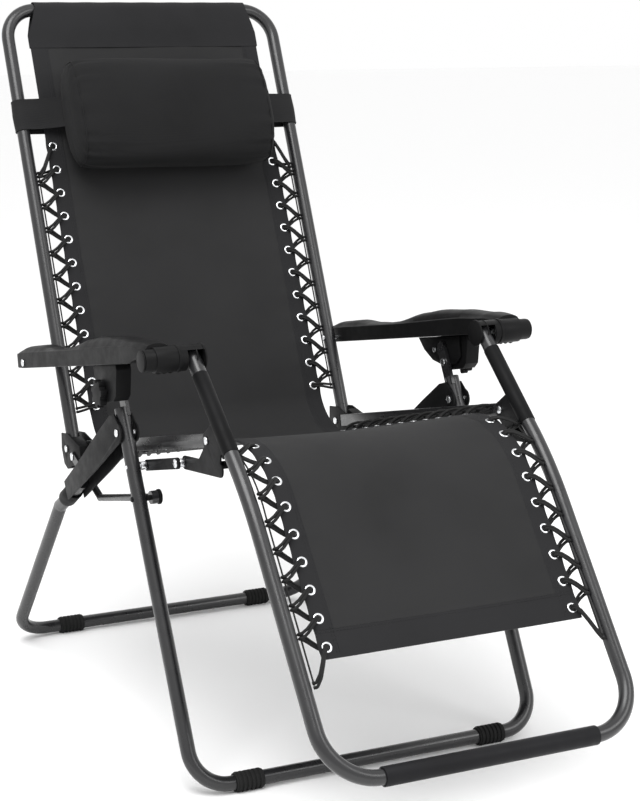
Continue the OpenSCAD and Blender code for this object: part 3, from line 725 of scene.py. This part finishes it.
BACK_ANCHOR_Y = BACK_HALF - TUBE_R - 0.0030
back_holes = [(p, BACK_LEAN) for p in back_eyelets]
back_steps = [0.1] + [0.55] * (BACK_EYELETS - 2) + [1.2]
back_knots = [(on_back(BACK_FIRST + (i - step) * PITCH), BACK_LEAN) for i, step in enumerate(back_steps)]
lacing("back_lacing", back_holes, back_knots, EYELET_Y, BACK_ANCHOR_Y, "backrest", "backrest_lacing")

seat_holes = [(p, top_angle) for p in seat_eyelets]
seat_knots = [(p + 0.5 * PITCH * sheet_dir + 0.008 * sheet_up, top_angle) for p in seat_eyelets]
lacing("seat_lacing_cord", seat_holes, seat_knots, EYELET_Y, 0.2310, "seat", "seat_lacing")

FOOT_ANCHOR_Y = FOOT_HALF - TUBE_R - 0.0030
foot_holes = [(p, FOOT_LEAN) for p in foot_eyelets] + list(arc_eyelets[::-1])
foot_knots = [(on_foot(FOOT_FIRST - 1.15 * PITCH, FOOT_LIFT), FOOT_LEAN)]
foot_knots += [(on_foot(FOOT_FIRST + (i - 0.5) * FOOT_PITCH, FOOT_LIFT), FOOT_LEAN)
               for i in range(1, FOOT_EYELETS + 1)]
foot_knots += [(knee_centre + (KNEE_FILLET + 0.001) * heading(a - arc_pitch / 2), a - arc_pitch / 2)
               for a in arc_angles[1::-1]]
lacing("foot_lacing", foot_holes, foot_knots, FOOT_EYELET_Y, FOOT_ANCHOR_Y, "footrest", "footrest_lacing")


# ---------------------------------------------------------------- headrest
def pillow_ring(y, shrink, puff, wobble):
    """A closed section of the pillow: flattened oval, with gathers near the seam."""
    ring = []
    count = 96
    for k in range(count):
        a = 2 * math.pi * k / count
        c, s = math.cos(a), math.sin(a)
        p = 0.74
        gather = wobble * (0.55 * math.sin(17 * a + 0.6) + 0.45 * math.sin(29 * a + 2.1 + 9 * y))
        slow = 0.0012 * math.sin(3 * a + 11 * y) + 0.0008 * math.sin(5 * a - 19 * y)
        up = math.copysign(abs(s) ** p, s) * (0.096 * shrink + gather + slow)
        out = math.copysign(abs(c) ** p, c) * (0.046 * shrink + gather * 0.7 + slow)
        if c < 0:
            out *= 0.92
        q = on_back(pillow_s + up, 0.0475 + out * puff)
        ring.append((q[0], y, q[1]))
    return ring


def pillow_mesh():
    stations = []
    for u in np.linspace(-1, 1, 81):
        y = u * PILLOW_BODY_HALF
        edge = PILLOW_BODY_HALF - abs(y)
        crown = 1 - 0.055 * math.exp(-(edge / 0.022))
        pinch = 0.018 * math.exp(-((edge / 0.004) ** 2))
        stations.append((y, crown - pinch, 1 + 0.02 * math.cos(u * 1.4), 0.0028 * math.exp(-edge / 0.030)))
    ends = [(0.1745, 0.915, 0.0016), (0.1785, 0.86, 0.0012), (0.1825, 0.70, 0.0009), (0.1842, 0.46, 0.0005),
            (0.1849, 0.22, 0.0)]
    left = [(y, k, 1.0, w) for y, k, w in ends]
    right = [(-y, k, 1.0, w) for y, k, w in ends[::-1]]
    rows = [pillow_ring(*station) for station in right + stations + left]
    points = [p for row in rows for p in row]
    count = len(rows[0])
    faces = []
    for r in range(len(rows) - 1):
        for k in range(count):
            k2 = (k + 1) % count
            faces.append((r * count + k, r * count + k2, (r + 1) * count + k2, (r + 1) * count + k))
    faces.append(tuple(range(count)))
    faces.append(tuple(range((len(rows) - 1) * count, len(rows) * count)))
    return mesh_object("pillow", points, faces, PILLOW, 75)


pillow = pillow_mesh()
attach(pillow, "headrest")
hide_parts("headrest_pillow")

SEAM_Y = 0.1726
welts = []
for sign in (-1, 1):
    welts.append([Vector(p) for p in pillow_ring(sign * SEAM_Y, 0.936, 1.0, 0.0016)[::3]])
for path in welts:
    path.append(path[0].copy())
cord_curve("pillow_seams", welts, 0.0010, PILLOW, "headrest", steps=3)


def strap(side_sign, name):
    """A wide band from the pillow's end round the backrest tube and back."""
    front = TUBE_R + 0.0020
    loop = [(0.1800, front + 0.010), (0.1900, front + 0.006), (0.2050, front + 0.0018),
            (0.2300, front + 0.0003), (BACK_HALF - 0.002, front)]
    for k in range(1, 10):
        a = math.radians(90 - 180 * k / 10)
        loop.append((BACK_HALF + front * math.cos(a), front * math.sin(a)))
    loop += [(BACK_HALF - 0.002, -front), (0.2300, -front - 0.0003), (0.2000, -front - 0.0006),
             (0.1600, -front)]
    loop = np.array(loop)
    tangent = np.gradient(loop, axis=0)
    tangent /= np.linalg.norm(tangent, axis=1)[:, None]
    outward = np.stack((-tangent[:, 1], tangent[:, 0]), axis=1)
    across = np.array([-1, -0.94, -0.9, -0.5, 0, 0.5, 0.9, 0.94, 1])
    skins = []
    for offset in (0.0008, -0.0008):
        grid = np.zeros((len(loop), len(across), 3))
        for i, (y, t) in enumerate(loop):
            for j, u in enumerate(across):
                edge = 0.0003 if abs(u) > 0.92 else 0.0
                curl = 0.0006 * math.sin(3.1 * u + 30 * y)
                o = offset + math.copysign(edge, offset) + curl
                p = on_back(strap_s + 0.027 * u, t + outward[i, 1] * o)
                grid[i, j] = (p[0], side_sign * (y + outward[i, 0] * o), p[1])
        skins.append(grid)
    band = grid_solid(name, skins[0], skins[1], WEBBING)
    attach(band, "headrest")
    return band


straps = [strap(-1, "strap_right"), strap(1, "strap_left")]
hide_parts("headrest_straps")


# ---------------------------------------------------------------- armrests
def smooth_table(s, table):
    """A soft curve through (place, value) pairs."""
    places = np.array([p for p, _ in table])
    values = np.array([v for _, v in table])
    i = int(np.clip(np.searchsorted(places, s) - 1, 0, len(places) - 2))
    u = float(np.clip((s - places[i]) / (places[i + 1] - places[i]), 0, 1))
    u = u * u * (3 - 2 * u)
    return values[i] + (values[i + 1] - values[i]) * u


# Heights in millimetres against places along the armrest from its rear pivot
CROWN = [(-36, 20), (0, 26.5), (60, 27), (110, 21), (160, 18.5), (205, 19.5), (300, 31), (350, 33.5),
         (420, 31), (500, 24), (560, 16)]
SIDE_TOP = [(-36, 15.5), (0, 17), (120, 16.5), (200, 16), (420, 18.5), (500, 16), (560, 8)]
BELOW = [(-36, -8), (0, -9), (480, -9), (520, -3), (560, 1)]
ARM_Y0 = 0.267
ARM_Y1 = 0.317


def arm_section(s, shrink):
    """(y, t) points of an armrest's section: straight sides, a small ledge and a crowned top."""
    mid = (ARM_Y0 + ARM_Y1) / 2
    half = (ARM_Y1 - ARM_Y0) / 2 * shrink
    low = smooth_table(s, BELOW) / 1000
    edge = smooth_table(s, SIDE_TOP) / 1000
    crown = max(smooth_table(s, CROWN) / 1000, edge + 0.001)
    points = [(-half + 0.0012, low), (-half, low + 0.0012), (-half, edge - 0.0008), (-half + 0.0008, edge)]
    for k in range(15):
        u = -1 + 2 * k / 14
        y = u * (half - 0.0028)
        rise = (1 - abs(u) ** 2.6) ** 0.62
        points.append((y, edge + 0.0007 + (crown - edge - 0.0007) * rise))
    points += [(half - 0.0008, edge), (half, edge - 0.0008), (half, low + 0.0012), (half - 0.0012, low)]
    return [(mid + y, t) for y, t in points]


def armrest(name, side_sign, replaced):
    stations = [(-36.5, 0.80), (-36, 0.88), (-34, 0.95), (-31, 0.985)]
    stations += [(s, 1.0) for s in np.linspace(-26, 505, 60)]
    stations += [(512, 0.995), (520, 0.98), (530, 0.95), (538, 0.90), (543, 0.84)]
    rows = []
    for s, shrink in stations:
        ring = []
        for y, t in arm_section(s, shrink):
            p = on_arm(s / 1000, t)
            ring.append((p[0], side_sign * y, p[1]))
        rows.append(ring)
    count = len(rows[0])
    points = [p for row in rows for p in row]
    faces = []
    for r in range(len(rows) - 1):
        for k in range(count):
            k2 = (k + 1) % count
            faces.append((r * count + k, r * count + k2, (r + 1) * count + k2, (r + 1) * count + k))
    faces.append(tuple(range(count)))
    faces.append(tuple(range((len(rows) - 1) * count, len(rows) * count)))
    obj = mesh_object(name, points, faces, PLASTIC, 42)
    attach(obj, "armrests")
    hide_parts(replaced)
    return obj


armrest("armrest_right_shell", -1, "armrest_right")
armrest("armrest_left_shell", 1, "armrest_left")


def barrel_trim(name, side_sign):
    """The two raised collars on a front barrel."""
    profile = [(0.2640, 18.7), (0.2645, 19.6), (0.2665, 19.9), (0.2685, 19.6), (0.2690, 18.7)]
    profile += [(0.2400, 18.7), (0.2405, 19.1), (0.2412, 19.1), (0.2417, 18.7)]
    points = []
    faces = []
    around = 48
    for start, stop in ((0, 5), (5, 9)):
        base = len(points)
        rows = profile[start:stop] + [(profile[stop - 1][0], 17.5), (profile[start][0], 17.5)]
        for k in range(around):
            direction = heading(360 * k / around)
            points += [at(FRONT_PIVOT + direction * r / 1000, side_sign * y) for y, r in rows]
        n = len(rows)
        for k in range(around):
            k2 = (k + 1) % around
            for j in range(n):
                j2 = (j + 1) % n
                faces.append((base + k * n + j, base + k * n + j2, base + k2 * n + j2, base + k2 * n + j))
    trim = mesh_object(name, points, faces, PLASTIC, 50)
    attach(trim, "armrests")
    return trim


barrel_trim("barrel_trim_right", -1)
barrel_trim("barrel_trim_left", 1)


def barrel_skirt(name, side_sign):
    """A thin scalloped wall hanging under a barrel's outer part."""
    ys = np.linspace(0.2705, 0.2975, 28)
    drop = [0.0025 + 0.0022 * abs(math.sin(math.pi * (y - 0.2705) / 0.009)) for y in ys]
    skins = []
    for offset in (-0.0022, -0.0037):
        grid = np.zeros((5, len(ys), 3))
        for j, y in enumerate(ys):
            for i in range(5):
                z = -0.0165 - drop[j] * i / 4
                grid[i, j] = (FRONT_PIVOT[0] + offset, side_sign * y, FRONT_PIVOT[1] + z)
        skins.append(grid)
    skirt = grid_solid(name, skins[0], skins[1], PLASTIC)
    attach(skirt, "armrests")
    return skirt


barrel_skirt("barrel_skirt_right", -1)
barrel_skirt("barrel_skirt_left", 1)

# ---------------------------------------------------------------- hardware from the frame, edges softened
# Edge width in metres and material for each node
HARDWARE = (
    ("lock_housings", 0.0022, HOUSING),
    ("slide_plates", 0.0006, PLATE),
    ("lock_knob_right", 0.0018, HOUSING),
    ("lock_knob_left", 0.0018, HOUSING),
    ("armrest_barrels", 0.0008, PLASTIC),
    ("barrel_caps", 0.0012, PLASTIC),
    ("rear_leg_clevises", 0.0006, PLATE),
    ("rear_leg_sleeves", 0.0007, HOUSING),
    ("front_feet", 0.0006, RUBBER),
    ("rear_feet", 0.0006, RUBBER),
    ("rear_hinge_casings", 0.0007, PLATE),
    ("knee_brackets", 0.0006, PLATE),
    ("knee_sleeves", 0.0007, HOUSING),
    ("control_links", 0.0008, PLATE),
    ("tie_rod_caps", 0.0014, HOUSING),
    ("footrest_bar_sleeve", 0.0008, FOAM),
    ("plate_bolts", 0.0008, ZINC),
    ("clamp_bolts", 0.0007, ZINC),
    ("armrest_rivets", 0.0009, ZINC),
    ("clevis_rivets", 0.0009, ZINC),
    ("rear_hinge_bolts", 0.0009, ZINC),
    ("tie_rod_pins", 0.0006, ZINC),
    ("knee_rivets", 0.0010, ZINC),
    ("link_pins", 0.0006, ZINC),
    ("link_rivets", 0.0007, ZINC),
    ("seat_rails", 0.0040, STEEL),
)
for node, width, material in HARDWARE:
    rounded(node, width, material, 3 if width > 0.001 else 2)

PLAIN_STEEL = ("front_leg_frame", "rear_leg_frame", "backrest_frame", "footrest_frame", "tie_rods",
               "footrest_shafts")
for node in PLAIN_STEEL:
    shown = nodes[node]
    shown.data.materials.clear()
    shown.data.materials.append(ZINC if node == "footrest_shafts" else STEEL)
    shown.data.polygons.foreach_set("use_smooth", [True] * len(shown.data.polygons))

# ---------------------------------------------------------------- floor, light and camera
FLOOR_HALF = 30
floor_mesh = bpy.data.meshes.new("floor")
corners = [(x * FLOOR_HALF, y * FLOOR_HALF, 0) for x, y in ((-1, -1), (1, -1), (1, 1), (-1, 1))]
floor_mesh.from_pydata(corners, [], [(0, 1, 2, 3)])
floor = bpy.data.objects.new("floor", floor_mesh)
bpy.context.scene.collection.objects.link(floor)
floor_mesh.materials.append(new_material("floor_paint", (0.97, 0.97, 0.97), 0.95))

world = bpy.data.worlds.new("studio")
bpy.context.scene.world = world
world.use_nodes = True
world.node_tree.nodes["Background"].inputs["Color"].default_value = (1, 1, 1, 1)
world.node_tree.nodes["Background"].inputs["Strength"].default_value = 1.0


def area_light(name, place, target, size, power):
    data = bpy.data.lights.new(name, "AREA")
    data.shape = "RECTANGLE"
    data.size, data.size_y = size
    data.energy = power
    obj = bpy.data.objects.new(name, data)
    bpy.context.scene.collection.objects.link(obj)
    obj.location = place
    obj.rotation_euler = (Vector(target) - Vector(place)).to_track_quat("-Z", "Y").to_euler()
    return obj


area_light("key", (1.2, -1.2, 3.6), (0, 0, 0.4), (2.4, 2.4), 110)
area_light("fill", (2.8, 2.0, 2.4), (0, 0, 0.5), (1.6, 1.6), 30)

CAMERA_LENS = 87.84
CAMERA_PLACE = (2.7074, -1.3107, 1.1100)
CAMERA_LOOK = (-0.8759, 0.4406, -0.1964)
camera_data = bpy.data.cameras.new("camera")
camera_data.lens = CAMERA_LENS
camera_data.sensor_width = 36
camera = bpy.data.objects.new("camera", camera_data)
bpy.context.scene.collection.objects.link(camera)
camera.location = CAMERA_PLACE
camera.rotation_euler = Vector(CAMERA_LOOK).to_track_quat("-Z", "Y").to_euler()
bpy.context.scene.camera = camera
bpy.context.scene.view_settings.view_transform = "Standard"
